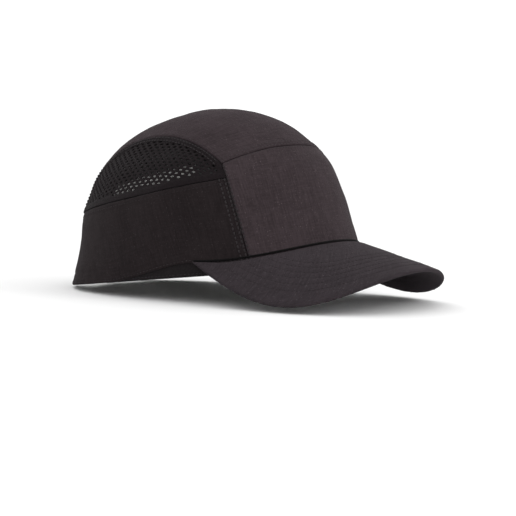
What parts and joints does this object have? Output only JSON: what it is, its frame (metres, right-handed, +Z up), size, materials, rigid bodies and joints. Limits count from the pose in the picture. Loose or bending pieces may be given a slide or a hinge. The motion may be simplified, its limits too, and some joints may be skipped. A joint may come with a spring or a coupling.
{
  "type": "bump cap",
  "caption": "Dark baseball-style bump cap: sewn cover with mesh sides and a curved visor over a padded hard shell, adjustable strap across a back arch.",
  "frame": {"origin": "centre of the base of the bounding box, on the table the cap stands on", "axes": "+Z up from the table, -Y towards the visor, +X towards the wearer's left"},
  "size_m": [0.185, 0.2891, 0.139],
  "materials": {
    "twill": "matt woven cotton twill",
    "mesh": "matt knitted mesh",
    "binding_tape": "matt woven tape",
    "hook_and_loop": "hook-and-loop pile",
    "label": "blank satin label",
    "towelling": "soft absorbent cloth over foam",
    "foam": "matt light grey closed-cell foam",
    "stiffener": "sheet plastic",
    "hard_shell": "semi-gloss moulded plastic"
  },
  "bodies": {
    "cap": {"arch_binding": "binding_tape", "care_label": "label", "crown_panel": "twill", "front_panel": "twill", "front_seam_tape": "binding_tape", "hem_facing": "binding_tape", "loop_strap": "hook_and_loop", "mesh_panel_left": "mesh", "mesh_panel_right": "mesh", "retainer_loop_front": "hook_and_loop", "retainer_loop_left": "hook_and_loop", "retainer_loop_rear": "hook_and_loop", "retainer_loop_right": "hook_and_loop", "side_panel_left": "twill", "side_panel_right": "twill", "side_seam_tape_left": "binding_tape", "side_seam_tape_right": "binding_tape", "strap_anchor": "binding_tape", "strap_sleeve": "binding_tape", "visor_board": "stiffener", "visor_top_cover": "twill", "visor_under_cover": "twill", "bump_shell": "hard_shell", "crown_pad": "foam", "front_pad": "foam", "rear_pad": "foam", "retainer_hook_front": "hook_and_loop", "retainer_hook_left": "hook_and_loop", "retainer_hook_rear": "hook_and_loop", "retainer_hook_right": "hook_and_loop", "side_pad_left": "foam", "side_pad_right": "foam", "sweatband": "towelling"},
    "size_strap": {"hook_strap": "hook_and_loop", "strap_pull_tab": "binding_tape"}
  },
  "joints": [
    {"name": "strap_adjust", "type": "hinge", "parent": "cap", "child": "size_strap", "pos_m": [0, 0.05794, 0.02344], "axis": [0, 0.1261, 0.992], "range_deg": [-18, 18]}
  ]
}
